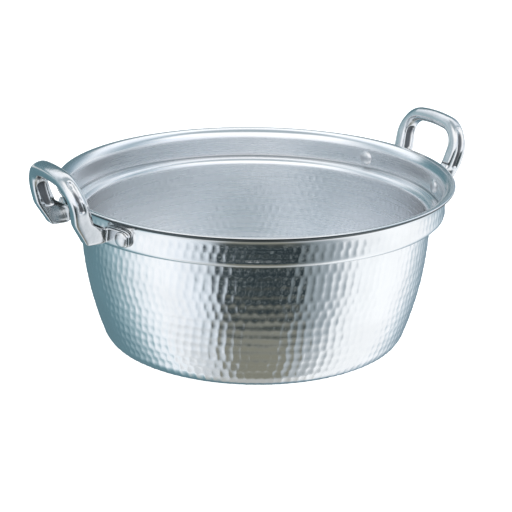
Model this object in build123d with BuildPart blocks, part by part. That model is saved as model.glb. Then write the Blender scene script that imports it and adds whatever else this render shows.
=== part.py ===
from build123d import *
import os
from math import asin, cos, degrees, radians, sin, tan

# Two-handled stepped aluminium cooking pot, millimetres.
# Origin: centre of the base, on the surface the pot stands on.
# +Z is up and +X runs along the line of the two handles.

# ---- pot ----
pot_height = 134.5          # floor to the top of the lip
collar_radius = 152.5       # outside of the straight collar
lip_overhang = 7.5          # lip past the collar
collar_height = 26.5        # underside of the step to the top of the lip
step_width = 11.5           # collar past the top of the wall
base_inset = 32.5           # flat of the base inside the top of the wall
corner_radius = 16.0        # underside to wall
sheet = 2.5                 # wall thickness
step_bend = 3.0             # bends of the step, middle of the sheet
lip_bend = 6.5              # bend of the lip, middle of the sheet
lip_turn = 80.0             # how far the lip turns outwards, degrees

# ---- handle castings ----
leg_centre = 38.0           # middle of a leg where it meets the grip, from the middle of the handle
leg_thickness = 11.0        # across the leg, along the rim
leg_depth = 15.5            # leg seen from its side, at the top of its foot
leg_round = 2.5             # long edges of the legs
lip_gap = 4.0               # lip to the inner side of a leg
lean = 14.0                 # outward lean of legs and grip, degrees
splay = 9.0                 # legs closer together towards their feet, degrees
grip_rise = 33.0            # top of the grip above the lip
grip_depth = 13.0           # grip section, in and out
grip_thickness = 11.5       # grip section, up and down
grip_round = 4.8            # rounding of the grip section
grip_crown = 5.0            # rise of the grip's middle over the line of its shoulders
shoulder_bend = 20.0        # corners of the loop, middle of the grip
foot_reach = 15.5           # flat bottom of a leg, out from the collar
heel_round = 9.0            # outer corner of that bottom
knee_round = 25.0           # leg's outer side, where it turns upright
foot_lift = 4.5             # foot above the underside of the step
foot_drop = 0.5             # foot below the start of the lip's bend
foot_thickness = 4.0        # foot plate, out from the collar
foot_margin = 6.6           # foot plate past the middle of its rivet
foot_round = 6.3            # corners of the foot plate
seat_clearance = 0.05       # foot plate to collar, and rivet heads to what they clamp
recess_depth = 2.5          # cast hollows in the two sides of a leg
recess_width = 7.0
recess_length = 22.0
recess_rise = 3.5           # middle of a hollow above the lip

# ---- rivets ----
rivet_past_leg = 6.5        # rivet's middle past the outer side of a leg
rivet_diameter = 6.0
hole_clearance = 0.1        # on diameter
rivet_head_diameter = 12.0
rivet_head_height = 2.4

# ---- worked out: pot ----
half_sheet = sheet / 2
lip_radius = collar_radius + lip_overhang
collar_inside = collar_radius - sheet
wall_top_radius = collar_radius - step_width
base_radius = wall_top_radius - base_inset
step_height = pot_height - collar_height
lip_slope = radians(90 - lip_turn)
lip_run = (lip_overhang - lip_bend * (1 - sin(lip_slope))) / cos(lip_slope)
lip_rise = lip_bend * cos(lip_slope) + lip_run * sin(lip_slope)
collar_top = pot_height - half_sheet - lip_rise
far = 2 * lip_radius        # longer than anything it cuts

# ---- worked out: handles and rivets ----
foot_inside = collar_radius + seat_clearance
foot_outside = foot_inside + foot_thickness
foot_bottom = step_height + foot_lift
foot_top = collar_top - foot_drop
grip_middle = pot_height + grip_rise - grip_thickness / 2
shoulder_height = grip_middle - grip_crown - shoulder_bend
leg_outer_side = leg_centre + leg_thickness / 2
rivet_height = (foot_bottom + foot_top) / 2
rivet_angle = degrees(asin((leg_outer_side + rivet_past_leg) / collar_radius))


def leg_middle(height):
    """Distance of the leaning leg's middle from the pot's axis, at a height."""
    return lip_radius + lip_gap + leg_depth / 2 + (height - pot_height) * tan(radians(lean))


def outward(angle):
    """Direction that points away from the pot's axis."""
    return Vector(cos(radians(angle)), sin(radians(angle)), 0)


# ---- pot body: one sheet, drawn as the middle line of its half section and thickened ----
wall_mid = wall_top_radius - half_sheet
collar_mid = collar_radius - half_sheet
corner_mid = corner_radius - half_sheet
ledge = step_height + half_sheet
wall_top = ledge - step_bend
# the bowed wall leaves the corner smoothly and stands upright where it meets the step
bow_rise = wall_top - corner_radius
bow_run = wall_mid - base_radius
bow_radius = (bow_run**2 + bow_rise**2 - corner_mid**2) / (2 * (bow_run - corner_mid))
bow_turn = degrees(asin(bow_rise / (bow_radius - corner_mid)))

with BuildPart() as pot_body:
    with BuildSketch(Plane.XZ):
        with BuildLine(mode=Mode.PRIVATE) as middle:
            Line((0, half_sheet), (base_radius, half_sheet))
            CenterArc((base_radius, corner_radius), corner_mid, -90, 90 - bow_turn)
            CenterArc((wall_mid - bow_radius, wall_top), bow_radius, -bow_turn, bow_turn)
            inner_bend = JernArc((wall_mid, wall_top), (0, 1), step_bend, -90)
            outer_bend = JernArc((collar_mid - step_bend, ledge), (1, 0), step_bend, 90)
            Line(inner_bend @ 1, outer_bend @ 0)
            collar = Line(outer_bend @ 1, (collar_mid, collar_top))
            lip = JernArc(collar @ 1, (0, 1), lip_bend, -lip_turn)
            PolarLine(lip @ 1, lip_run, 90 - lip_turn)
        with BuildLine():
            offset(middle.line, half_sheet)
        make_face()
        Rectangle(far, far, align=(Align.MIN, Align.CENTER), mode=Mode.INTERSECT)
    revolve(axis=Axis.Z)
    for middle_angle in (0, 180):
        for side in (-1, 1):
            direction = outward(middle_angle + side * rivet_angle)
            with BuildSketch(Plane(origin=(0, 0, rivet_height), z_dir=direction)):
                Circle((rivet_diameter + hole_clearance) / 2)
            extrude(amount=far, mode=Mode.SUBTRACT)
pot_body.part.label = "pot_body"


# ---- handle: a grip loop on two legs, each leg running into a foot plate that hugs the collar ----
foot_plane = Plane(
    origin=(0, 0, rivet_height),
    x_dir=outward(rivet_angle + 90),
    z_dir=outward(rivet_angle),
)
leg_shift = (shoulder_height - rivet_height) * tan(radians(splay))   # of the splayed leg's lower end
foot_length = foot_margin + rivet_past_leg + leg_thickness + leg_shift

with BuildPart() as foot:
    with BuildSketch(Plane.XY.offset(foot_bottom)):
        Circle(foot_outside)
        Circle(foot_inside, mode=Mode.SUBTRACT)
    extrude(amount=foot_top - foot_bottom)
    with BuildSketch(foot_plane):
        with Locations((foot_margin - foot_length / 2, 0)):
            RectangleRounded(foot_length, foot_top - foot_bottom, foot_round)
    extrude(amount=far, mode=Mode.INTERSECT)

# a leg stands in a plane that swings out by the splay, about the point where the leg meets the grip
leg_plane = Plane(
    origin=(0, leg_centre, shoulder_height),
    x_dir=(1, 0, 0),
    z_dir=(0, -cos(radians(splay)), sin(radians(splay))),
)
recess_height = pot_height + recess_rise
neck_height = foot_top + foot_thickness


def on_leg(radius, height):
    """Point in the leg's plane, from its distance out and its height."""
    return (radius, (height - shoulder_height) / cos(radians(splay)))


heel = on_leg(collar_radius + foot_reach, foot_bottom)
knee = on_leg(leg_middle(foot_top) + leg_depth / 2, foot_top)

with BuildPart() as legs:
    with BuildSketch(leg_plane) as leg_side:
        with BuildLine():
            Polyline(
                on_leg(collar_inside - foot_reach, foot_bottom),
                heel,
                knee,
                on_leg(leg_middle(shoulder_height) + grip_depth / 2, shoulder_height),
                on_leg(leg_middle(shoulder_height) - grip_depth / 2, shoulder_height),
                on_leg(leg_middle(neck_height) - leg_depth / 2, neck_height),
                on_leg(foot_outside, foot_top),
                on_leg(collar_inside - foot_reach, foot_top),
                close=True,
            )
        make_face()
        fillet(leg_side.vertices().sort_by_distance(knee)[0], knee_round)
        fillet(leg_side.vertices().sort_by_distance(heel)[0], heel_round)
    extrude(amount=leg_thickness / 2, both=True)
    side_edges = legs.faces().filter_by(leg_plane).edges()
    fillet(side_edges.filter_by(lambda edge: edge.center().X > foot_outside), leg_round)
    with Locations((0, 0, pot_height / 2)):
        Cylinder(foot_inside, far, mode=Mode.SUBTRACT)
    for hollow_side in (-1, 1):
        with BuildSketch(leg_plane.offset(hollow_side * leg_thickness / 2)):
            with Locations(on_leg(leg_middle(recess_height), recess_height)):
                SlotOverall(recess_length, recess_width, rotation=90 - lean)
        extrude(amount=-hollow_side * recess_depth, mode=Mode.SUBTRACT)
    add(foot.part)
    mirror(about=Plane.XZ)

loop_plane = Plane(
    origin=(leg_middle(grip_middle), 0, grip_middle),
    x_dir=(0, 1, 0),
    z_dir=(cos(radians(lean)), 0, -sin(radians(lean))),
)
loop_drop = (grip_middle - pot_height) / cos(radians(lean))
loop_foot = leg_centre - (loop_drop - grip_crown - shoulder_bend) * tan(radians(splay))

with BuildPart() as right_handle:
    with BuildLine(loop_plane) as loop:
        crown = ThreePointArc((-leg_centre, -grip_crown), (0, 0), (leg_centre, -grip_crown))
        Line((-loop_foot, -loop_drop), crown @ 0)
        Line(crown @ 1, (loop_foot, -loop_drop))
        fillet(loop.vertices().sort_by(Axis.Z)[2:4], shoulder_bend)
    path = loop.wire()
    with BuildSketch(Plane(origin=path @ 0, x_dir=loop_plane.z_dir, z_dir=path % 0)):
        RectangleRounded(grip_depth, grip_thickness, grip_round)
    sweep(path=path)
    add(legs.part)
    for side in (-1, 1):
        with BuildSketch(Plane(origin=(0, 0, rivet_height), z_dir=outward(side * rivet_angle))):
            Circle((rivet_diameter + hole_clearance) / 2)
        extrude(amount=far, mode=Mode.SUBTRACT)
right_handle.part.label = "right_handle"

with BuildPart() as left_handle:
    add(right_handle.part.rotate(Axis.Z, 180))
left_handle.part.label = "left_handle"


# ---- rivets: a domed head inside the collar, a shank, and a domed head on the foot plate ----
inner_seat = collar_inside - seat_clearance
outer_seat = foot_outside + seat_clearance
head_radius = rivet_head_diameter / 2
rivet_angles = {
    "rivet_right_front": -rivet_angle,
    "rivet_right_rear": rivet_angle,
    "rivet_left_front": 180 + rivet_angle,
    "rivet_left_rear": 180 - rivet_angle,
}

# what the rivets clamp, with a shank's hole at each: it shapes the seats under the heads
with BuildPart() as clamped:
    with BuildSketch(Plane.XY.offset(foot_bottom)):
        Circle(outer_seat)
        Circle(inner_seat, mode=Mode.SUBTRACT)
    extrude(amount=foot_top - foot_bottom)
    for angle in rivet_angles.values():
        with BuildSketch(Plane(origin=(0, 0, rivet_height), z_dir=outward(angle))):
            Circle(rivet_diameter / 2)
        extrude(amount=far, mode=Mode.SUBTRACT)


def make_rivet(angle):
    """A solid aluminium rivet, already closed, at an angle round the pot."""
    upright = Plane(origin=(0, 0, rivet_height), x_dir=outward(angle), z_dir=outward(angle - 90))
    halfway = radians(45)
    dome_out = rivet_head_height * sin(halfway)
    dome_up = head_radius * cos(halfway)
    with BuildPart() as rivet:
        with BuildSketch(upright):
            with BuildLine():
                inner_dome = ThreePointArc(
                    (inner_seat - rivet_head_height, 0),
                    (inner_seat - dome_out, dome_up),
                    (inner_seat, head_radius),
                )
                outer_dome = ThreePointArc(
                    (outer_seat, head_radius),
                    (outer_seat + dome_out, dome_up),
                    (outer_seat + rivet_head_height, 0),
                )
                Line(inner_dome @ 1, outer_dome @ 0)
                Line(outer_dome @ 1, inner_dome @ 0)
            make_face()
        revolve(axis=Axis((0, 0, rivet_height), outward(angle)))
        add(clamped.part, mode=Mode.SUBTRACT)
    return rivet.part


pieces = [pot_body.part, right_handle.part, left_handle.part]
for name, angle in rivet_angles.items():
    rivet = make_rivet(angle)
    rivet.label = name
    pieces.append(rivet)

os.makedirs("parts", exist_ok=True)
for piece in pieces:
    export_step(piece, "parts/" + piece.label + ".step")
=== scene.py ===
import math

import bpy
import numpy as np
from bpy.props import FloatProperty, FloatVectorProperty, IntProperty, PointerProperty
from mathutils import Matrix, Vector


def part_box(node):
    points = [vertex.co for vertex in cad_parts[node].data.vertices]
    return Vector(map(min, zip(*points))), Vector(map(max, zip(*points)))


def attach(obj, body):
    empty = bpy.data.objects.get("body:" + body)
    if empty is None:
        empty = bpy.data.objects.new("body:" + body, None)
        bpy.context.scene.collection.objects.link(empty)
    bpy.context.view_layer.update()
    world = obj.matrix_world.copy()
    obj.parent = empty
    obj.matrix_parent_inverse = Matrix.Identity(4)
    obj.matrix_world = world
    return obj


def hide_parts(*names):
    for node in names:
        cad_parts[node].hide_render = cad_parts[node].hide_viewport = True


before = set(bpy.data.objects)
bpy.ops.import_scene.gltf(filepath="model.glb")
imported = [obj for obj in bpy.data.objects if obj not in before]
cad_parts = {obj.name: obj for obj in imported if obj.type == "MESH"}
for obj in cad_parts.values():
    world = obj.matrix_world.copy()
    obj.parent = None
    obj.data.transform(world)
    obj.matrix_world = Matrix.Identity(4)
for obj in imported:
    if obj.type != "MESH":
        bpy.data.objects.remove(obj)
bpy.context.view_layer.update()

bl_info = {
    "name": "Stepped cooking pot",
    "version": (1, 0, 0),
    "blender": (4, 5, 0),
    "location": "View3D > Sidebar > Pot",
    "description": "Hammered aluminium cooking pot with a stepped collar and two riveted cast handles",
    "category": "Object",
}

MM = 0.001
POT_LOW, POT_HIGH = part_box("pot_body")
HANDLE_LOW, HANDLE_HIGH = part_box("right_handle")
RIVET_LOW, RIVET_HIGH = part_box("rivet_right_rear")
BODY = "root"


# ---------------------------------------------------------------- settings


def length(name, text, size):
    """A size in metres that shows as a length in the panel."""
    return FloatProperty(name=name, description=text, default=size, unit="LENGTH", precision=4)


def turn(name, text, degrees):
    """An angle that is stored in radians and shows in degrees."""
    return FloatProperty(name=name, description=text, default=math.radians(degrees), subtype="ANGLE")


def share(name, text, amount):
    """A number from 0 to 1."""
    return FloatProperty(name=name, description=text, default=amount, min=0, max=1, subtype="FACTOR")


def tint(name, text, colour):
    """A linear colour."""
    return FloatVectorProperty(
        name=name, description=text, default=colour, size=3, min=0, max=1, subtype="COLOR"
    )


class PotBodySizes(bpy.types.PropertyGroup):
    """Sizes of the spun and hammered sheet."""

    height: length("Height", "Floor to the top of the lip", POT_HIGH.z)
    lip_radius: length("Lip radius", "Outer edge of the lip", POT_HIGH.x)
    collar_radius: length("Collar radius", "Outside of the straight collar", 152.5 * MM)
    collar_height: length("Collar height", "Underside of the step to the top of the lip", 26.5 * MM)
    step_width: length("Step width", "Collar past the top of the wall", 11.5 * MM)
    base_inset: length("Base inset", "Flat of the base inside the top of the wall", 32.5 * MM)
    corner: length("Corner radius", "Underside to wall", 16 * MM)
    sheet: length("Sheet", "Wall thickness", 2.5 * MM)
    step_bend: length("Step bends", "Bend radius in the middle of the sheet", 3 * MM)
    lip_bend: length("Lip bend", "Bend radius in the middle of the sheet", 6.5 * MM)
    lip_turn: turn("Lip turn", "How far the lip turns outwards", 80)
    mark_spacing: length("Mark spacing", "Hammer marks along a row", 6.6 * MM)
    mark_pitch: length("Mark pitch", "One row of hammer marks to the next", 7.4 * MM)
    mark_radius: length("Mark radius", "Reach of one dish", 4.7 * MM)
    mark_depth: length("Mark depth", "Depth of one dish", 0.42 * MM)
    wall_rows: IntProperty(name="Wall rows", description="Rows of marks on the wall", default=15, min=0)
    collar_rows: IntProperty(name="Collar rows", description="Rows of marks on the collar", default=2, min=0)


class HandleSizes(bpy.types.PropertyGroup):
    """Sizes of one cast loop handle."""

    lean: turn("Lean", "Outward lean of the loop", 14)
    splay: turn("Splay", "Legs closer together towards the feet", 9)
    half_width: length("Half width", "Middle of a leg where it meets the grip", 38 * MM)
    crown: length("Crown", "Rise of the grip's middle", 5 * MM)
    shoulder: length("Shoulder", "Bend between grip and leg", 20 * MM)
    grip_depth: length("Grip depth", "Grip, in and out", 13 * MM)
    grip_height: length("Grip height", "Grip, up and down", 11.5 * MM)
    leg_depth: length("Leg depth", "Leg at the top of its foot, in and out", 15.5 * MM)
    leg_width: length("Leg width", "Leg along the rim", 11 * MM)
    lip_gap: length("Lip gap", "Lip to the inner side of a leg", 4 * MM)
    foot_reach: length("Foot reach", "Bottom of a leg out from the collar", 15.5 * MM)
    plate: length("Foot plate", "Thickness of the foot plate", 4 * MM)
    plate_margin: length("Plate margin", "Foot plate past the middle of its rivet", 6.6 * MM)
    voxel: length("Skin", "Grid that the cast skin is drawn on", 0.6 * MM)


class RivetSizes(bpy.types.PropertyGroup):
    """Sizes of one closed rivet."""

    past_leg: length("Past the leg", "Rivet's middle past the outer side of a leg", 6.5 * MM)
    shank: length("Shank", "Radius of the shank", 3 * MM)
    head: length("Head", "Radius of a head", 6 * MM)
    dome: length("Dome", "Height of a head", 2.4 * MM)


class FinishColours(bpy.types.PropertyGroup):
    """Colours and polish of the metals."""

    wall: tint("Hammered wall", "Polished outside", (0.86, 0.87, 0.875))
    # painted shade: the colour of the dark band under the lip, which stands for shade and dark reflection
    painted_shade_under_lip: tint("Under the lip", "Unpolished skin under the lip", (0.08, 0.095, 0.10))
    spun: tint("Spun inside", "Satin inside and lip", (0.92, 0.93, 0.945))
    cast: tint("Casting", "Polished handle", (0.80, 0.81, 0.82))
    hollow: tint("Hollow", "Rough skin left in the casting's hollows", (0.20, 0.21, 0.225))
    wall_roughness: share("Wall roughness", "Polish of the hammered wall", 0.14)
    spun_roughness: share("Spun roughness", "Satin of the inside", 0.28)
    cast_roughness: share("Casting roughness", "Polish of the handles", 0.16)


class StudioSizes(bpy.types.PropertyGroup):
    """The pale bowl that stands for floor and backdrop, and the camera."""

    floor: length("Floor", "Radius of the level floor", 2.2)
    cove: length("Cove", "Radius of the bend from floor to backdrop", 1.5)
    distance: length("Camera distance", "Camera to the middle of the pot", 1.44)
    aim: length("Aim height", "Height that the camera looks at", 67 * MM)
    aside: length("Aim aside", "Aim to the right of the pot's axis", 1 * MM)
    elevation: turn("Elevation", "Camera above the horizon", 18.66)
    azimuth: turn("Azimuth", "Camera round the pot from its front", -31.4)
    roll: turn("Roll", "Camera about its own axis", 0.75)
    lens: FloatProperty(name="Lens", description="Focal length in millimetres", default=124.0, unit="CAMERA")


class PotSettings(bpy.types.PropertyGroup):
    """Everything that the panel shows."""

    pot: PointerProperty(type=PotBodySizes)
    handle: PointerProperty(type=HandleSizes)
    rivet: PointerProperty(type=RivetSizes)
    finish: PointerProperty(type=FinishColours)
    studio: PointerProperty(type=StudioSizes)


# ---------------------------------------------------------------- shader maths


class Signal:
    """A node's output. Arithmetic on a number adds Math nodes to its graph."""

    def __init__(self, graph, socket):
        self.graph, self.socket = graph, socket

    def math(self, operation, *others):
        inputs = {0: self, **dict(enumerate(others, 1))}
        return self.graph.node("ShaderNodeMath", {"operation": operation}, inputs)

    def __add__(self, other):
        return self.math("ADD", other)

    def __sub__(self, other):
        return self.math("SUBTRACT", other)

    def __mul__(self, other):
        return self.math("MULTIPLY", other)

    def __truediv__(self, other):
        return self.math("DIVIDE", other)

    def __pow__(self, other):
        return self.math("POWER", other)

    def __rsub__(self, other):
        return self.graph.node("ShaderNodeMath", {"operation": "SUBTRACT"}, {0: other, 1: self})

    __radd__ = __add__
    __rmul__ = __mul__


class Graph:
    """A node tree that is written from expressions."""

    def __init__(self, tree):
        self.tree = tree
        tree.nodes.clear()

    def node(self, kind, settings=None, inputs=None, output=0):
        """Adds one node: its settings and a ramp's stops, then the values or links of its inputs."""
        made = self.tree.nodes.new(kind)
        for key, value in (settings or {}).items():
            if key == "stops":
                for stop, (place, colour) in zip(self.ramp_stops(made, len(value)), value):
                    stop.position, stop.color = place, (*colour, 1)
            else:
                setattr(made, key, value)
        for key, value in (inputs or {}).items():
            if isinstance(value, Signal):
                self.tree.links.new(value.socket, made.inputs[key])
            else:
                made.inputs[key].default_value = value
        return Signal(self, made.outputs[output]) if made.outputs else made

    @staticmethod
    def ramp_stops(made, number):
        """The ramp's stops, as many as are asked for."""
        elements = made.color_ramp.elements
        while len(elements) < number:
            elements.new(1)
        return elements

    def place(self):
        """Position on the object, as a vector and as x, y and z."""
        position = self.node("ShaderNodeTexCoord", output="Object")
        split = self.node("ShaderNodeSeparateXYZ", None, {0: position}).socket.node
        return position, [Signal(self, split.outputs[axis]) for axis in range(3)]

    def vector(self, x, y, z):
        return self.node("ShaderNodeCombineXYZ", None, {0: x, 1: y, 2: z})

    def noise(self, vector, scale, detail=3.0, rough=0.5):
        """Smooth random values about a half."""
        inputs = {"Vector": vector, "Scale": scale, "Detail": detail, "Roughness": rough}
        return self.node("ShaderNodeTexNoise", None, inputs)

    def ease(self, value, low, high, first=0.0, last=1.0):
        """Goes smoothly from first at low to last at high."""
        return self.node(
            "ShaderNodeMapRange",
            {"interpolation_type": "SMOOTHSTEP"},
            {"Value": value, "From Min": low, "From Max": high, "To Min": first, "To Max": last},
        )

    def ramp(self, value, low, high, stops):
        """Looks a colour up by a value, from stops of (value, colour)."""
        placed = [((place - low) / (high - low), colour) for place, colour in stops]
        return self.node("ShaderNodeValToRGB", {"stops": placed}, {"Fac": (value - low) / (high - low)})

    def blend(self, factor, first, last, blend_type="MIX"):
        """Mixes two colours, or adds the last to the first."""
        settings = {"data_type": "RGBA", "blend_type": blend_type}
        return self.node("ShaderNodeMix", settings, {0: factor, 6: first, 7: last}, output=2)

    def bump(self, height, distance, strength=1.0, normal=None):
        """Turns a height into a normal."""
        inputs = {"Height": height, "Distance": distance, "Strength": strength}
        if normal is not None:
            inputs["Normal"] = normal
        return self.node("ShaderNodeBump", None, inputs)

    def metal(self, colour, roughness, normal):
        """The finished surface: a metal whose colour, roughness and normal vary."""
        shader = self.node(
            "ShaderNodeBsdfPrincipled",
            None,
            {"Base Color": colour, "Roughness": roughness, "Normal": normal, "Metallic": 1.0},
        )
        self.node("ShaderNodeOutputMaterial", None, {0: shader})


def solid(colour, share_of=1.0):
    """A colour, or a darker share of it, with its alpha, for a socket."""
    return (*(share_of * c for c in colour), 1.0)


def new_material(name):
    """An empty material and its graph."""
    material = bpy.data.materials.new(name)
    material.use_nodes = True
    return material, Graph(material.node_tree)


def hammered_finish(finish, pot):
    """Polished hammered sheet: fine scratches round the pot, duller patches, and painted shade: a dark band
    under the lip.

    The dark band stands for the shade and the dark reflection under the overhanging lip.
    """
    material, g = new_material("hammered_aluminium")
    position, (x, y, z) = g.place()
    around = y.math("ARCTAN2", x)
    radius = (x * x + y * y) ** 0.5
    patches = g.noise(position, 28.0, 3.0)
    lines = g.noise(g.vector(around * 1.4, radius * 900.0, z * 900.0), 1.0, 2.0)
    skin = g.noise(position, 900.0, 2.0)
    colour = g.blend(g.ease(patches, 0.35, 0.7), solid(finish.wall), solid(finish.wall, 0.93))
    # painted shade: the outside of the sheet turns dark just under the lip
    under = g.ease(z, pot.height - 5.8 * MM, pot.height - 5.0 * MM)
    colour = g.blend(under, colour, solid(finish.painted_shade_under_lip))
    roughness = finish.wall_roughness + (patches - 0.5) * 0.10 + (lines - 0.5) * 0.10 + under * 0.2
    normal = g.bump(lines * 0.6 + skin * 0.4, 0.02 * MM)
    g.metal(colour, roughness, normal)
    return material


PAINTED_CORNER_SHADE = (0.22, 0.24, 0.26)     # painted shade for the inside corner of the step


def spun_finish(finish, pot):
    """Satin spun sheet: rings round the pot, with the hammer marks faintly printed through the wall."""
    material, g = new_material("spun_aluminium")
    position, (x, y, z) = g.place()
    around = y.math("ARCTAN2", x)
    radius = (x * x + y * y) ** 0.5
    patches = g.noise(position, 18.0, 3.0)
    rings = g.noise(g.vector(around * 0.8, radius * 700.0, z * 700.0), 1.0, 3.0, 0.6)
    # printed marks: a staggered grid of dishes on the wall between corner and step
    step_height = pot.height - pot.collar_height
    above_corner = g.ease(z, 16 * MM, 24 * MM)
    on_wall = above_corner * g.ease(z, step_height - 6 * MM, step_height - 3 * MM, 1.0, 0.0)
    number = round(2 * math.pi * (pot.collar_radius - pot.step_width) / pot.mark_spacing)
    row = z * (1 / pot.mark_pitch)
    dish = (around * number).math("COSINE") * (row * math.pi).math("COSINE") * 0.5 + 0.5
    colour = g.blend(g.ease(patches, 0.3, 0.7), solid(finish.spun), solid(finish.spun, 0.95))
    # painted shade: a dark line in the inside corner of the step
    inside = pot.collar_radius - pot.sheet
    ledge = step_height + pot.sheet
    by_collar = g.ease(radius, inside - 2.2 * MM, inside - 0.4 * MM)
    painted_crevice_shade = by_collar * g.ease(z, ledge + 0.6 * MM, ledge + 2.6 * MM, 1.0, 0.0)
    colour = g.blend(painted_crevice_shade * 0.75, colour, solid(PAINTED_CORNER_SHADE))
    on_lip = g.ease(z, pot.height - 6 * MM, pot.height - 2 * MM)
    roughness = finish.spun_roughness - on_lip * 0.12 + (rings - 0.5) * 0.16 + (patches - 0.5) * 0.08
    printed = g.bump(dish * dish * on_wall, -0.15 * MM)
    normal = g.bump(rings, 0.05 * MM, normal=printed)
    g.metal(colour, roughness, normal)
    return material


def cast_finish(finish):
    """Polished casting: a soft uneven skin where it was polished, and dull grainy hollows."""
    material, g = new_material("cast_aluminium")
    position, _ = g.place()
    hollow = g.node("ShaderNodeAttribute", {"attribute_name": "hollow"}, None, output="Fac")
    swell = g.noise(position, 110.0, 2.0)
    grain = g.noise(position, 1500.0, 4.0, 0.7)
    patches = g.noise(position, 60.0, 3.0)
    polished = g.blend(g.ease(patches, 0.3, 0.75), solid(finish.cast), solid(finish.cast, 0.92))
    colour = g.blend(hollow, polished, solid(finish.hollow))
    roughness = finish.cast_roughness + (patches - 0.5) * 0.12 + hollow * 0.42
    soft = g.bump(swell, 0.16 * MM)
    normal = g.bump(grain * (0.04 + hollow), 0.22 * MM, normal=soft)
    g.metal(colour, roughness, normal)
    return material


def rivet_finish(finish):
    """Closed rivet head: bright, with the dull rings and small flats that a rivet set leaves."""
    material, g = new_material("rivet_aluminium")
    position, _ = g.place()
    flats = g.noise(position, 420.0, 1.0)
    specks = g.noise(position, 1600.0, 3.0)
    colour = g.blend(g.ease(flats, 0.35, 0.65), solid(finish.cast), solid(finish.cast, 0.9))
    roughness = finish.cast_roughness + 0.14 + (specks - 0.5) * 0.15
    normal = g.bump(flats + specks * 0.15, 0.12 * MM)
    g.metal(colour, roughness, normal)
    return material


# ---------------------------------------------------------------- surfaces


def smooth(value, low, high):
    """0 at low, 1 at high, and level at both ends."""
    share_of_way = np.clip((value - low) / (high - low), 0, 1)
    return share_of_way * share_of_way * (3 - 2 * share_of_way)


def full_turn(count):
    """Angles of points spread evenly round a circle."""
    return np.linspace(0, 2 * math.pi, count, endpoint=False)


def signed_power(value, power):
    """A power of the size of a sine or cosine, with its sign kept, which makes a circle a superellipse."""
    return np.sign(value) * np.abs(value) ** power


def trace(start, heading, stretches):
    """Points and headings of a flat line made of stretches of (length, bend, steps).

    The heading turns evenly by bend over a stretch, so a stretch is straight or an arc of radius
    length / bend.
    """
    points, headings = [np.array([start], float)], [np.array([heading], float)]
    for reach, bend, steps in stretches:
        way = np.linspace(0, 1, steps + 1)[1:]
        first, turned = headings[-1][-1], headings[-1][-1] + bend * way
        if abs(bend) > 1e-9:
            chord = np.stack((np.sin(turned) - np.sin(first), np.cos(first) - np.cos(turned)), 1)
            moved = chord * reach / bend
        else:
            moved = np.outer(way * reach, (math.cos(first), math.sin(first)))
        points.append(points[-1][-1] + moved)
        headings.append(turned)
    return np.concatenate(points), np.concatenate(headings)


def ring_faces(lower, upper):
    """Faces between two closed rings of point numbers.

    The longer ring has a whole number of points for each of the other's.
    """
    ratio = max(len(upper) // len(lower), len(lower) // len(upper))
    few, many = (lower, upper) if len(lower) <= len(upper) else (upper, lower)
    at = np.arange(len(few))
    corners = [few[at], few[(at + 1) % len(few)]]
    corners += [many[(at * ratio + step) % len(many)] for step in range(ratio, -1, -1)]
    faces = np.stack(corners, 1)
    return faces if few is lower else faces[:, ::-1]


def make_mesh(name, points, faces, materials, zones=None):
    """A smooth mesh of points and a list of face arrays, with a material number for each array."""
    mesh = bpy.data.meshes.new(name)
    sizes = np.concatenate([np.full(len(block), block.shape[1]) for block in faces])
    corners = np.concatenate([block.ravel() for block in faces])
    mesh.vertices.add(len(points))
    mesh.vertices.foreach_set("co", np.asarray(points, np.float32).ravel())
    mesh.loops.add(len(corners))
    mesh.loops.foreach_set("vertex_index", corners.astype(np.int32))
    mesh.polygons.add(len(sizes))
    mesh.polygons.foreach_set("loop_start", np.concatenate(([0], np.cumsum(sizes)[:-1])).astype(np.int32))
    for material in materials:
        mesh.materials.append(material)
    if zones is not None:
        numbers = np.concatenate([np.full(len(block), zone) for block, zone in zip(faces, zones)])
        mesh.polygons.foreach_set("material_index", numbers.astype(np.int32))
    mesh.update(calc_edges=True)
    mesh.validate()
    mesh.shade_smooth()
    return mesh


def new_object(name, data):
    """An object in the scene, at the origin."""
    made = bpy.data.objects.new(name, data)
    bpy.context.scene.collection.objects.link(made)
    return made


def add_piece(name, mesh, node):
    """Puts a finished mesh in the scene in place of a CAD node."""
    piece = new_object(name, mesh)
    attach(piece, BODY)
    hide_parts(node)
    return piece


def capped_tube(size):
    """Faces of a closed tube: size is its number of rings and the points in each, between two poles."""
    number, around = size
    blocks = [np.arange(row * around, (row + 1) * around) + 1 for row in range(number)]
    faces = [ring_faces(lower, upper) for lower, upper in zip(blocks, blocks[1:])]
    last = number * around + 1
    start = np.stack((np.zeros(around, int), np.roll(blocks[0], -1), blocks[0]), 1)
    end = np.stack((np.full(around, last), blocks[-1], np.roll(blocks[-1], -1)), 1)
    return [start, *faces, end]


# ---------------------------------------------------------------- pot body


FINE, COARSE = 816, 272     # points round the hammered outside, and round the rest
RIM_POINTS = 8              # points over the half round edge of the lip, its two ends included


def wall_bow(pot):
    """Radius and turn of the bowed wall, which leaves the corner smoothly and stands upright at the step."""
    half = pot.sheet / 2
    corner = pot.corner - half
    top = pot.height - pot.collar_height + half - pot.step_bend
    rise = top - pot.corner
    run = pot.base_inset - half
    radius = (run**2 + rise**2 - corner**2) / (2 * (run - corner))
    return radius, math.asin(rise / (radius - corner))


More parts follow.
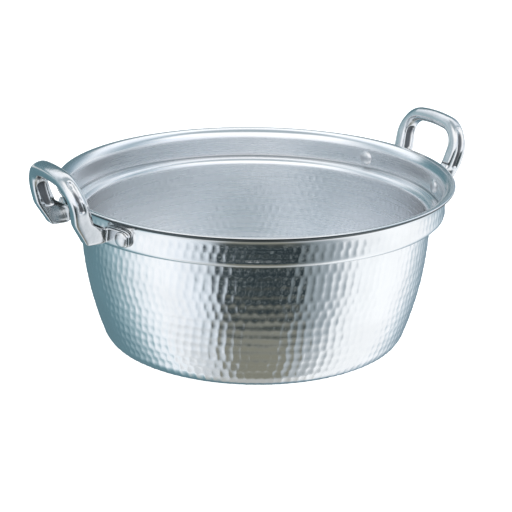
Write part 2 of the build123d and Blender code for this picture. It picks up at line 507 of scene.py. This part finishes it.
def sheet_stretches(pot):
    """The middle line of the half section, from the axis to the lip's edge, as (name, length, bend)."""
    half = pot.sheet / 2
    quarter = math.pi / 2
    bow, bow_turn = wall_bow(pot)
    slope = quarter - pot.lip_turn
    overhang = pot.lip_radius - pot.collar_radius - pot.lip_bend * (1 - math.sin(slope))
    run = overhang / math.cos(slope)
    lip_rise = pot.lip_bend * math.cos(slope) + run * math.sin(slope)
    collar_foot = pot.height - pot.collar_height + half + pot.step_bend
    return [
        ("base", pot.collar_radius - pot.step_width - pot.base_inset, 0.0),
        ("corner", (pot.corner - half) * (quarter - bow_turn), quarter - bow_turn),
        ("wall", bow * bow_turn, bow_turn),
        ("step", pot.step_bend * quarter, -quarter),
        ("step", pot.step_width - 2 * pot.step_bend, 0.0),
        ("step", pot.step_bend * quarter, quarter),
        ("collar", pot.height - half - lip_rise - collar_foot, 0.0),
        ("lip", pot.lip_bend * pot.lip_turn, -pot.lip_turn),
        ("lip", run, 0.0),
    ]


def hammer_marks(along, angle, radius, centres, pot, draw):
    """Depth of the hammer marks, in rows at the given distances along the wall.

    A mark is a shallow dish: its depth falls with the square of the distance from its middle. Where
    dishes meet, the deeper one wins, which leaves a ridge. Each row has the whole number of marks
    that fits its girth.
    """
    depth = np.zeros(np.broadcast(along, angle).shape)
    for centre in centres:
        girth = 2 * math.pi * float(np.interp(centre, along[:, 0], radius[:, 0]))
        number = round(girth / pot.mark_spacing)
        shift = draw.normal(0, 0.045, number + 1)
        rise = draw.normal(0, 0.045, number + 1) * pot.mark_pitch
        strength = 1 + draw.normal(0, 0.12, number + 1)
        column = angle * number / (2 * math.pi) - draw.random()
        nearest = np.round(column).astype(int) % number
        sideways = (column - np.round(column) - shift[nearest]) * girth / number
        upwards = along - centre - rise[nearest]
        dish = 1 - (sideways**2 + upwards**2) / pot.mark_radius**2
        depth = np.maximum(depth, dish * strength[nearest])
    return np.maximum(depth, 0) * pot.mark_depth


def pot_body_points(pot):
    """The whole sheet as rings of points, outside from the axis to the lip and back down the inside.

    The two sides are the middle line moved half the sheet along its normal, and a half circle joins
    them at the lip. The outside is finely divided and sinks by the hammer marks.
    """
    half = pot.sheet / 2
    stretches = sheet_stretches(pot)
    outside_steps = {"base": 5, "corner": 11, "wall": 58, "step": 3, "collar": 11, "lip": 7}
    inside_steps = {"base": 4, "corner": 7, "wall": 16, "step": 3, "collar": 5, "lip": 6}
    ends = np.cumsum([0] + [reach for _, reach, _ in stretches])

    def side(steps, offset):
        """One side of the sheet: its points, their normals, and the way along the middle line."""
        pieces = [(reach, bend, steps[name]) for name, reach, bend in stretches]
        line, headings = trace((0, half), 0, pieces)
        normals = np.stack((np.sin(headings), -np.cos(headings)), 1)
        parts = [np.linspace(a, b, count + 1)[1:] for (_, _, count), a, b in zip(pieces, ends, ends[1:])]
        return line + normals * offset, normals, np.concatenate([[0], *parts])

    outside, normals, way = side(outside_steps, half)
    inside = side(inside_steps, -half)[0]
    span = {name: (end - reach, end) for (name, reach, _), end in zip(stretches, ends[1:])}
    fine = np.flatnonzero((way > span["corner"][0] + 1e-9) & (way < span["collar"][1] - 1e-9))
    angle = full_turn(FINE)[None, :]
    draw = np.random.default_rng(11)
    wall_top = span["wall"][1] - 0.62 * pot.mark_pitch
    collar_middle = sum(span["collar"]) / 2
    rows = [wall_top - row * pot.mark_pitch for row in range(pot.wall_rows)]
    half_rows = (pot.collar_rows - 1) / 2
    rows += [collar_middle + (row - half_rows) * pot.mark_pitch for row in range(pot.collar_rows)]
    along, radius = way[fine][:, None], outside[fine, :1]
    sunk = hammer_marks(along, angle, radius, rows, pot, draw)
    collar_edge = np.minimum(along - span["collar"][0], span["collar"][1] - along)
    sunk *= smooth(np.where(along > span["wall"][1], collar_edge, 1), -0.5 * MM, 2.2 * MM)
    sunk *= smooth(along, span["corner"][0], span["corner"][0] + 9 * MM)

    def ring(point, count, push=0.0, normal=(0, 0)):
        """One ring of points about the axis, each pushed in against the normal."""
        turn_angle = full_turn(count)
        out = point[0] - push * normal[0] + np.zeros(count)
        up = point[1] - push * normal[1] + np.zeros(count)
        return np.stack((out * np.cos(turn_angle), out * np.sin(turn_angle), up), 1)

    rings = []
    for row in range(1, len(outside)):
        if row in fine:
            rings.append(ring(outside[row], FINE, sunk[row - fine[0]], normals[row]))
        else:
            rings.append(ring(outside[row], COARSE))
    edge_middle, edge_normal = (outside[-1] + inside[-1]) / 2, normals[-1]
    edge_out = np.array((-edge_normal[1], edge_normal[0]))
    for step in np.linspace(0, math.pi, RIM_POINTS)[1:-1]:
        towards = math.cos(step) * edge_normal + math.sin(step) * edge_out
        rings.append(ring(edge_middle + half * towards, COARSE))
    first_inside = len(rings)
    rings += [ring(point, COARSE) for point in inside[:0:-1]]
    return rings, first_inside


def build_pot_body(settings):
    """The closed sheet with a pole at each end of its section."""
    pot, finish = settings.pot, settings.finish
    rings, first_inside = pot_body_points(pot)
    points = np.concatenate([[(0, 0, 0)], *rings, [(0, 0, pot.sheet)]])
    starts = np.cumsum([1] + [len(ring) for ring in rings])
    numbers = [np.arange(start, start + len(ring)) for start, ring in zip(starts, rings)]
    faces = [np.stack((np.zeros(COARSE, int), np.roll(numbers[0], -1), numbers[0]), 1)]
    faces += [ring_faces(lower, upper) for lower, upper in zip(numbers, numbers[1:])]
    last = len(points) - 1
    faces.append(np.stack((np.full(COARSE, last), numbers[-1], np.roll(numbers[-1], -1)), 1))
    # the satin inside starts near the top of the lip's edge
    first_satin = first_inside - RIM_POINTS // 4
    zones = [0 if row < first_satin else 1 for row in range(len(faces))]
    materials = [hammered_finish(finish, pot), spun_finish(finish, pot)]
    mesh = make_mesh("pot_body_shell", points, faces, materials, zones)
    return add_piece("pot_body_shell", mesh, "pot_body")


# ---------------------------------------------------------------- handles


FOOT_TOP = 126.0 * MM       # top of the foot plates
FOOT_EDGE = 2.2 * MM        # rounded edge that closes a leg at the bottom
SEAT_GAP = 0.05 * MM        # foot plates off the collar
HOLLOW_DEPTH = 2.4 * MM
# hollows: rear leg, side away from the finger gap, bottom, top, width at the bottom and at the top, in mm
HOLLOWS = (
    (True, True, 140.5, 158.5, 3.2, 4.6),
    (False, True, 119.0, 157.0, 3.4, 5.6),
    (True, False, 127.5, 151.0, 6.6, 7.4),
    (False, False, 127.0, 149.0, 6.6, 7.6),
)
# foot plate from its back over the rounded edge to its face: share of its outline, share of its thickness
PLATE_SIZE = (1e-4, 0.3, 0.8, 0.95, 0.985, 1.0, 1.0, 0.985, 0.955, 0.9, 0.78, 0.55, 0.28, 1e-4)
PLATE_RISE = (0.0, 0.0, 0.0, 0.0, 0.04, 0.14, 0.5, 0.7, 0.83, 0.92, 0.98, 1.0, 1.0, 1.0)


class Handle:
    """The right handle's lines, worked out from the sizes."""

    def __init__(self, settings):
        pot, self.sizes = settings.pot, settings.handle
        h = self.sizes
        self.foot_bottom = HANDLE_LOW.z
        self.collar = pot.collar_radius
        self.rim, self.lip = pot.height, pot.lip_radius
        self.grip_middle = HANDLE_HIGH.z - h.grip_height / 2
        crown_radius = (h.half_width**2 + h.crown**2) / (2 * h.crown)
        # the shoulder arc touches the crown arc inside and the leg's straight line
        gap = crown_radius - h.shoulder
        corner = np.array((h.half_width, -h.crown))
        down = np.array((-math.sin(h.splay), -math.cos(h.splay)))
        inward = np.array((-math.cos(h.splay), math.sin(h.splay)))
        base = corner + inward * h.shoulder + (0, crown_radius)
        middle = base @ down
        root = math.sqrt(middle**2 - base @ base + gap**2)
        slide = -middle - root
        centre = base + down * (slide if slide > 0 else -middle + root)
        crown_turn = math.atan2(centre[0], centre[1])
        shoulder_turn = math.pi / 2 + h.splay - crown_turn
        leg_top = centre - (0, crown_radius) - inward * h.shoulder
        drop = (self.grip_middle - self.foot_bottom) / math.cos(h.lean)
        leg = (drop + leg_top[1]) / math.cos(h.splay)
        self.line, self.heading = trace(
            (0, 0),
            0,
            [
                (crown_radius * crown_turn, -crown_turn, 26),
                (h.shoulder * shoulder_turn, -shoulder_turn, 34),
                (leg, 0, 70),
            ],
        )

    def leg_middle(self, height):
        """Distance of the leaning loop from the pot's axis, at a height."""
        h = self.sizes
        return self.lip + h.lip_gap + h.leg_depth / 2 + (height - self.rim) * math.tan(h.lean)

    def sides(self, height):
        """How far the inner and outer sides stand from the loop's middle line, at a height."""
        h = self.sizes
        in_leg = smooth(-height, -self.rim - 14 * MM, -FOOT_TOP)
        grown = h.grip_depth / 2 + (h.leg_depth - h.grip_depth) / 2 * in_leg
        to_collar = self.leg_middle(height) - self.collar + 1 * MM
        inner = grown + (to_collar - grown) * smooth(-height, -FOOT_TOP - 5 * MM, -FOOT_TOP + 3 * MM)
        knee_top = FOOT_TOP + 5 * MM
        knee = np.clip((knee_top - height) / (knee_top - self.foot_bottom), 0, 1)
        heel_out = self.collar + h.foot_reach - self.leg_middle(height)
        outer = grown + (heel_out - grown) * knee**1.6
        return inner, outer

    def leg_line(self, height):
        """Sideways distance of a leg's middle from the middle of the handle, at a height."""
        h = self.sizes
        order = np.argsort(self.line[:, 1])
        down = (height - self.grip_middle) / math.cos(h.lean)
        return np.interp(down, self.line[order, 1], self.line[order, 0])

    def hollow(self, height, across, rear, outward):
        """Depth share of the cast hollows in a leg's two sides: slots with round ends and soft walls.

        height and across are the place in the side, across from the leg's middle. The four slots
        differ: rear or front leg, and the side that faces away from the finger gap or into it.
        """
        share_of = np.zeros(np.shape(height))
        for is_rear, is_outward, low, high, foot_width, top_width in HOLLOWS:
            low, high = low * MM, high * MM
            half = np.interp(height, (low, high), (foot_width * MM / 2, top_width * MM / 2))
            past_end = height - np.clip(height, low + half, high - half)
            distance = np.hypot(past_end, across) / half
            here = (rear == is_rear) & (outward == is_outward)
            share_of = np.maximum(share_of, np.where(here, 1 - smooth(distance, 0.62, 1.05), 0))
        return share_of


def bar_points(handle, around=80):
    """The grip and both legs as one bar, from the front foot over the crown to the rear foot.

    Each section is a superellipse: oval in the grip and flat sided in the legs. Its in and out axis
    leans with the loop at the top and is level at the feet, and the hollows push its flat sides in.
    """
    h = handle.sizes
    line = np.concatenate((handle.line[:0:-1] * (-1, 1), handle.line))
    normal = np.stack((-np.sin(handle.heading), np.cos(handle.heading)), 1)
    normal = np.concatenate((normal[:0:-1] * (-1, 1), normal))
    height = handle.grip_middle + line[:, 1] * math.cos(h.lean)
    level = smooth(-height, -handle.rim - 8 * MM, -FOOT_TOP)[:, None]
    out_axis = (1 - level) * (math.cos(h.lean), 0, -math.sin(h.lean)) + level * (1, 0, 0)
    leaning_up = (math.sin(h.lean), 0, math.cos(h.lean))
    side_axis = np.outer(normal[:, 0], (0, 1, 0)) + np.outer(normal[:, 1], leaning_up)
    flat_side = np.stack((np.zeros(len(line)), np.sign(normal[:, 0]), np.zeros(len(line))), 1)
    side_axis = (1 - level) * side_axis + level * flat_side
    centre = np.stack((handle.leg_middle(height), line[:, 0], height), 1)

    in_leg = smooth(-height, -handle.grip_middle + 8 * MM, -handle.rim - 6 * MM)
    inner, outer = handle.sides(height)
    half_width = h.grip_height / 2 + (h.leg_width - h.grip_height) / 2 * in_leg
    power = 2 / (2.5 + 2.6 * in_leg)
    # the foot closes over a small rounded edge
    closing = np.clip((handle.foot_bottom + FOOT_EDGE - height) / FOOT_EDGE, 0, 1)
    shrink = FOOT_EDGE * (1 - np.sqrt(1 - closing**2))

    turn_angle = full_turn(around)[None, :]
    cosine, sine = np.cos(turn_angle), np.sin(turn_angle)
    reach_out = signed_power(cosine, power[:, None])
    reach_side = signed_power(sine, power[:, None])
    out = reach_out * np.where(cosine > 0, (outer - shrink)[:, None], (inner - shrink)[:, None])
    aside = reach_side * (half_width - shrink)[:, None]
    middle = ((outer - inner) / 2)[:, None]
    rear = np.broadcast_to((line[:, 0] > 0)[:, None], aside.shape)
    heights = np.broadcast_to(height[:, None], aside.shape)
    sink = handle.hollow(heights, out - middle, rear, aside > 0) * HOLLOW_DEPTH
    # hollows only reach into the flat sides
    sink = sink * smooth(np.abs(reach_side), 0.75, 0.97)
    aside = aside - np.sign(aside) * sink
    rings = centre[:, None] + out[..., None] * out_axis[:, None] + aside[..., None] * side_axis[:, None]
    ends = [rings[row].mean(0, keepdims=True) for row in (0, -1)]
    return np.concatenate((ends[0], rings.reshape(-1, 3), ends[1])), rings.shape[:2]


def plate_points(handle, rivet_angle, side, around=96):
    """A foot plate as a pillow wrapped round the collar.

    Its outline is a superellipse in the distance round the collar and the height, and its thickness
    rises over a rounded edge to a nearly flat face.
    """
    h = handle.sizes
    bottom, top = handle.foot_bottom, FOOT_TOP
    outer_end = rivet_angle + h.plate_margin / handle.collar
    inner_end = math.asin((handle.leg_line(bottom) - 2 * MM) / handle.collar)
    turn_angle = full_turn(around)
    power = 2 / 3.6
    wide = signed_power(np.cos(turn_angle), power)
    tall = signed_power(np.sin(turn_angle), power)
    size, rise = np.array(PLATE_SIZE)[:, None], np.array(PLATE_RISE)[:, None]
    angle = (outer_end + inner_end) / 2 + size * wide * (outer_end - inner_end) / 2
    height = (bottom + top) / 2 + size * tall * (top - bottom) / 2
    radius = handle.collar + SEAT_GAP + rise * h.plate
    grid = np.stack((radius * np.cos(angle), side * radius * np.sin(angle), height), 2)
    if side > 0:
        grid = grid[:, ::-1]
    ends = [grid[row].mean(0, keepdims=True) for row in (0, -1)]
    return np.concatenate((ends[0], grid.reshape(-1, 3), ends[1])), grid.shape[:2]


def rivet_place(settings):
    """Angle of a rivet from the handle line, and its height."""
    handle, rivet, pot = settings.handle, settings.rivet, settings.pot
    leg_outside = handle.half_width + handle.leg_width / 2
    angle = math.asin((leg_outside + rivet.past_leg) / pot.collar_radius)
    return angle, (RIVET_LOW.z + RIVET_HIGH.z) / 2


def cast_skin(shells, voxel):
    """One mesh over overlapping shells, drawn on a grid and relaxed, as a casting's corners are."""
    points = np.concatenate([shell[0] for shell in shells])
    starts = np.cumsum([0] + [len(shell[0]) for shell in shells])
    faces = [block + start for (_, size), start in zip(shells, starts) for block in capped_tube(size)]
    rough = new_object("casting_shells", make_mesh("casting_shells", points, faces, []))
    skin = rough.modifiers.new("skin", "REMESH")
    skin.mode, skin.voxel_size = "VOXEL", voxel
    relax = rough.modifiers.new("relax", "SMOOTH")
    relax.factor, relax.iterations = 0.5, 7
    evaluated = rough.evaluated_get(bpy.context.evaluated_depsgraph_get())
    mesh = bpy.data.meshes.new_from_object(evaluated)
    bpy.data.objects.remove(rough)
    return mesh


def build_handle(settings, name, node, half_turn):
    """A handle: its bar and foot plates under one cast skin, seated on the collar."""
    handle = Handle(settings)
    rivet_angle, _ = rivet_place(settings)
    plates = [plate_points(handle, rivet_angle, side) for side in (-1, 1)]
    shells = [bar_points(handle), *plates]
    mesh = cast_skin(shells, handle.sizes.voxel)
    points = np.empty(len(mesh.vertices) * 3, np.float32)
    mesh.vertices.foreach_get("co", points)
    points = points.reshape(-1, 3).astype(float)
    height = points[:, 2]
    inner, outer = handle.sides(height)
    out = points[:, 0] - handle.leg_middle(height) - (outer - inner) / 2
    aside = np.abs(points[:, 1]) - handle.leg_line(height)
    half_width = handle.sizes.leg_width / 2
    shallow = smooth(np.abs(aside), half_width - 0.5 * MM, half_width - 1.6 * MM)
    hollow = handle.hollow(height, out, points[:, 1] > 0, aside > 0) * shallow
    # the feet sit on the collar
    radius = np.hypot(points[:, 0], points[:, 1])
    seat = np.maximum(radius, handle.collar + SEAT_GAP) / radius
    points[:, :2] *= seat[:, None]
    if half_turn:
        points[:, :2] *= -1
    mesh.vertices.foreach_set("co", points.astype(np.float32).ravel())
    mesh.attributes.new("hollow", "FLOAT", "POINT").data.foreach_set("value", hollow.astype(np.float32))
    mesh.name = name
    mesh.materials.clear()
    mesh.materials.append(bpy.data.materials.get("cast_aluminium") or cast_finish(settings.finish))
    mesh.shade_smooth()
    mesh.update()
    return add_piece(name, mesh, node)


# ---------------------------------------------------------------- rivets


def rivet_points(settings, angle, height, around=64):
    """A closed rivet turned about its own axis: a dome inside the collar, a shank and a dome outside.

    Each dome is close to a quarter of an ellipse. Every point then moves in by the collar's curve at
    its place, so that the heads lie on the round collar.
    """
    pot, rivet, handle = settings.pot, settings.rivet, settings.handle
    inner_seat = pot.collar_radius - pot.sheet
    outer_seat = pot.collar_radius + handle.plate
    quarter = np.linspace(0, math.pi / 2, 13)[1:]
    dome = rivet.dome * np.cos(quarter) ** 0.9
    under_inner, under_outer = inner_seat + 0.15 * MM, outer_seat - 0.1 * MM
    shank = (under_inner, under_inner, under_outer, under_outer)
    way = np.concatenate((inner_seat - dome, shank, (outer_seat + dome)[::-1]))
    rim, edge = rivet.head * np.sin(quarter), rivet.head - 0.1 * MM
    reach = np.concatenate((rim, (edge, rivet.shank, rivet.shank, edge), rim[::-1]))
    turn_angle = full_turn(around)[None, :]
    sideways = reach[:, None] * np.cos(turn_angle)
    upwards = reach[:, None] * np.sin(turn_angle)
    out = way[:, None] - (pot.collar_radius - np.sqrt(pot.collar_radius**2 - sideways**2))
    grid = np.stack(
        (
            out * math.cos(angle) - sideways * math.sin(angle),
            out * math.sin(angle) + sideways * math.cos(angle),
            height + upwards,
        ),
        2,
    )
    direction = np.array((math.cos(angle), math.sin(angle), 0))
    first = direction * (inner_seat - rivet.dome) + (0, 0, height)
    last = direction * (outer_seat + rivet.dome) + (0, 0, height)
    return np.concatenate(([first], grid.reshape(-1, 3), [last])), grid.shape[:2]


def build_rivets(settings):
    """Two rivets for each handle."""
    material = rivet_finish(settings.finish)
    step, height = rivet_place(settings)
    angles = {
        "rivet_right_front": -step,
        "rivet_right_rear": step,
        "rivet_left_front": math.pi + step,
        "rivet_left_rear": math.pi - step,
    }
    for node, angle in angles.items():
        points, size = rivet_points(settings, angle, height)
        faces = [block[:, ::-1] for block in capped_tube(size)]
        mesh = make_mesh(node + "_set", points, faces, [material])
        add_piece(node + "_set", mesh, node)


# ---------------------------------------------------------------- studio


def studio_bowl(studio, around=96):
    """A level floor that bends up into an upright backdrop all round, in one sweep about the upright axis."""
    quarter = math.pi / 2
    stretches = [(studio.floor, 0, 6), (studio.cove * quarter, quarter, 16), (studio.cove, 0, 2)]
    line, _ = trace((0, 0), 0, stretches)
    turn_angle = full_turn(around)
    rings = np.stack(
        (
            line[1:, :1] * np.cos(turn_angle),
            line[1:, :1] * np.sin(turn_angle),
            line[1:, 1:] + np.zeros(around),
        ),
        2,
    )
    numbers = np.arange(rings.shape[0] * around).reshape(-1, around) + 1
    faces = [np.stack((np.zeros(around, int), numbers[0], np.roll(numbers[0], -1)), 1)]
    faces += [ring_faces(lower, upper)[:, ::-1] for lower, upper in zip(numbers, numbers[1:])]
    material, g = new_material("studio_white")
    glow = g.node("ShaderNodeEmission", None, {"Color": (1, 1, 1, 1), "Strength": 0.82})
    matt = g.node("ShaderNodeBsdfDiffuse", None, {"Color": (0.9, 0.9, 0.9, 1)})
    both = g.node("ShaderNodeAddShader", None, {0: glow, 1: matt})
    g.node("ShaderNodeOutputMaterial", None, {0: both})
    points = np.concatenate(([(0, 0, 0)], rings.reshape(-1, 3)))
    floor = new_object("studio_floor", make_mesh("studio_floor", points, faces, [material]))
    # the metal mirrors the light of the studio, not the bowl
    floor.visible_glossy = floor.visible_diffuse = floor.visible_shadow = False


# the studio's light by bearing in degrees: 0 is behind the camera and 180 is the far side of the pot
LIGHT_BELOW = (
    (-180, (0.10, 0.17, 0.20)),
    (-126, (0.12, 0.22, 0.26)),
    (-104, (0.30, 0.42, 0.47)),
    (-84, (0.74, 0.80, 0.85)),
    (-64, (0.90, 0.92, 0.95)),
    (-42, (0.77, 0.82, 0.88)),
    (-30, (0.52, 0.58, 0.64)),
    (-19, (0.018, 0.030, 0.036)),
    (27, (0.015, 0.025, 0.030)),
    (36, (0.20, 0.24, 0.26)),
    (52, (0.34, 0.39, 0.43)),
    (68, (0.84, 0.87, 0.90)),
    (100, (0.93, 0.95, 0.97)),
    (120, (0.88, 0.90, 0.93)),
    (138, (0.52, 0.60, 0.66)),
    (156, (0.22, 0.30, 0.36)),
    (180, (0.10, 0.17, 0.20)),
)
LIGHT_ABOVE = (
    (-180, (0.96, 0.98, 1.00)),
    (-130, (0.86, 0.90, 0.95)),
    (-95, (0.34, 0.42, 0.47)),
    (-56, (0.92, 0.95, 0.99)),
    (-20, (0.96, 0.98, 1.00)),
    (20, (0.92, 0.94, 1.00)),
    (56, (0.80, 0.85, 0.92)),
    (95, (0.26, 0.35, 0.41)),
    (130, (0.78, 0.83, 0.89)),
    (180, (0.96, 0.98, 1.00)),
)
WHITE = (1.0, 1.0, 1.0)
SIDE_FLOOR = (0.44, 0.47, 0.49)
TABLE = (0.205, 0.205, 0.165)
NADIR = (0.42, 0.43, 0.42)
CEILING = (0.34, 0.40, 0.44)


def studio_light(studio):
    """Soft light from all round, with pale banks at both sides.

    The front and the foot of the far side are dark, and the ceiling is dim.
    The light's colour is looked up from the bearing, once for what lies below the horizon and once
    for what lies above it, and those two are mixed by the elevation. The horizon climbs towards the
    far side.
    """
    world = bpy.data.worlds.new("studio_light")
    bpy.context.scene.world = world
    world.use_nodes = True
    g = Graph(world.node_tree)
    direction = g.node("ShaderNodeTexCoord", output="Generated")
    split = g.node("ShaderNodeSeparateXYZ", None, {0: direction}).socket.node
    x, y, z = (Signal(g, split.outputs[axis]) for axis in range(3))
    side, front = math.sin(studio.azimuth), -math.cos(studio.azimuth)
    towards = x * side + y * front
    aside = x * -front + y * side
    degree = 180 / math.pi
    bearing = aside.math("ARCTAN2", towards) * degree
    rise = z.math("ARCSINE") * degree
    lower = g.ramp(bearing, -180, 180, LIGHT_BELOW)
    upper = g.ramp(bearing, -180, 180, LIGHT_ABOVE)
    off = bearing.math("ABSOLUTE")
    # pale specks in the dark front
    specks = g.ease(g.noise(direction, 11.0, 2.0), 0.54, 0.66)
    clutter = specks * g.ease(off, 24.0, 40.0, 0.20, 0.0)
    lower = g.blend(1.0, lower, g.vector(clutter * 0.9, clutter, clutter), "ADD")
    low_sides = g.ease(rise, -58.0, -36.0, 1.0, 0.0) * g.ease(off, 58.0, 80.0, 0.65, 0.0)
    lower = g.blend(low_sides, lower, solid(SIDE_FLOOR))
    near = g.ease((bearing - 4).math("ABSOLUTE"), 20.0, 38.0, 1.0, 0.0)
    lower = g.blend(near * g.ease(rise, -60.0, -25.0, 1.0, 0.0), lower, solid(TABLE))
    lower = g.blend(g.ease(rise, -84.0, -62.0, 1.0, 0.0), lower, solid(NADIR))
    high_front = g.ease(rise, 30.0, 40.0) * g.ease(off, 60.0, 90.0, 1.0, 0.0)
    upper = g.blend(high_front, upper, solid(WHITE))
    upper = g.blend(g.ease(rise, 58.0, 72.0), upper, solid(CEILING))
    # a low pale strip all along the far side
    skirting = g.ease(off, 100.0, 130.0) * g.ease(rise, -9.0, -4.0)
    skirting = skirting * g.ease(rise, 0.0, 6.0, 0.6, 0.0)
    horizon = g.ease(off, 95.0, 150.0) * 33.0
    shade = g.blend(g.ease(rise - horizon, -2.0, 5.0), lower, upper)
    shade = g.blend(skirting, shade, solid(WHITE))
    glow = g.node("ShaderNodeBackground", None, {"Color": shade, "Strength": 1.2})
    g.node("ShaderNodeOutputWorld", None, {0: glow})


def add_camera(studio):
    """Looks down at the pot from the front left, from the given distance, bearing and elevation."""
    towards = Vector((math.sin(studio.azimuth), -math.cos(studio.azimuth), 0))
    right = Vector((-towards.y, towards.x, 0))
    target = right * studio.aside + Vector((0, 0, studio.aim))
    back = towards * math.cos(studio.elevation) + Vector((0, 0, math.sin(studio.elevation)))
    data = bpy.data.cameras.new("camera")
    data.lens, data.sensor_width, data.clip_end = studio.lens, 36.0, 100.0
    camera = new_object("camera", data)
    look = back.to_track_quat("Z", "Y").to_matrix().to_4x4() @ Matrix.Rotation(studio.roll, 4, "Z")
    camera.matrix_world = Matrix.Translation(target + back * studio.distance) @ look
    bpy.context.scene.camera = camera


# ---------------------------------------------------------------- operators and panel


class POT_OT_body(bpy.types.Operator):
    """Make the hammered and spun pot body"""

    bl_idname = "cooking_pot.body"
    bl_label = "Pot body"

    def execute(self, context):
        build_pot_body(context.scene.cooking_pot)
        return {"FINISHED"}


class POT_OT_handles(bpy.types.Operator):
    """Make the two cast loop handles"""

    bl_idname = "cooking_pot.handles"
    bl_label = "Handles"

    def execute(self, context):
        settings = context.scene.cooking_pot
        build_handle(settings, "right_handle_casting", "right_handle", False)
        build_handle(settings, "left_handle_casting", "left_handle", True)
        return {"FINISHED"}


class POT_OT_rivets(bpy.types.Operator):
    """Make the four closed rivets"""

    bl_idname = "cooking_pot.rivets"
    bl_label = "Rivets"

    def execute(self, context):
        build_rivets(context.scene.cooking_pot)
        return {"FINISHED"}


class POT_OT_studio(bpy.types.Operator):
    """Make the floor, the light and the camera"""

    bl_idname = "cooking_pot.studio"
    bl_label = "Studio"

    def execute(self, context):
        studio = context.scene.cooking_pot.studio
        studio_bowl(studio)
        studio_light(studio)
        add_camera(studio)
        context.scene.view_settings.view_transform = "Standard"
        return {"FINISHED"}


class POT_PT_panel(bpy.types.Panel):
    """Sizes, colours and buttons of the cooking pot"""

    bl_idname = "POT_PT_panel"
    bl_label = "Cooking pot"
    bl_space_type = "VIEW_3D"
    bl_region_type = "UI"
    bl_category = "Pot"

    def draw(self, context):
        settings = context.scene.cooking_pot
        for group in (settings.pot, settings.handle, settings.rivet, settings.finish, settings.studio):
            column = self.layout.box().column()
            for name in group.__annotations__:
                column.prop(group, name)
        for operator in OPERATORS:
            self.layout.operator(operator.bl_idname)


GROUPS = (PotBodySizes, HandleSizes, RivetSizes, FinishColours, StudioSizes, PotSettings)
OPERATORS = (POT_OT_body, POT_OT_handles, POT_OT_rivets, POT_OT_studio)


def register():
    for cls in (*GROUPS, *OPERATORS, POT_PT_panel):
        bpy.utils.register_class(cls)
    bpy.types.Scene.cooking_pot = PointerProperty(type=PotSettings)


def unregister():
    del bpy.types.Scene.cooking_pot
    for cls in reversed((*GROUPS, *OPERATORS, POT_PT_panel)):
        bpy.utils.unregister_class(cls)


def main():
    """Makes every piece and the studio."""
    register()
    bpy.ops.cooking_pot.body()
    bpy.ops.cooking_pot.handles()
    bpy.ops.cooking_pot.rivets()
    bpy.ops.cooking_pot.studio()


if __name__ == "__main__":
    main()
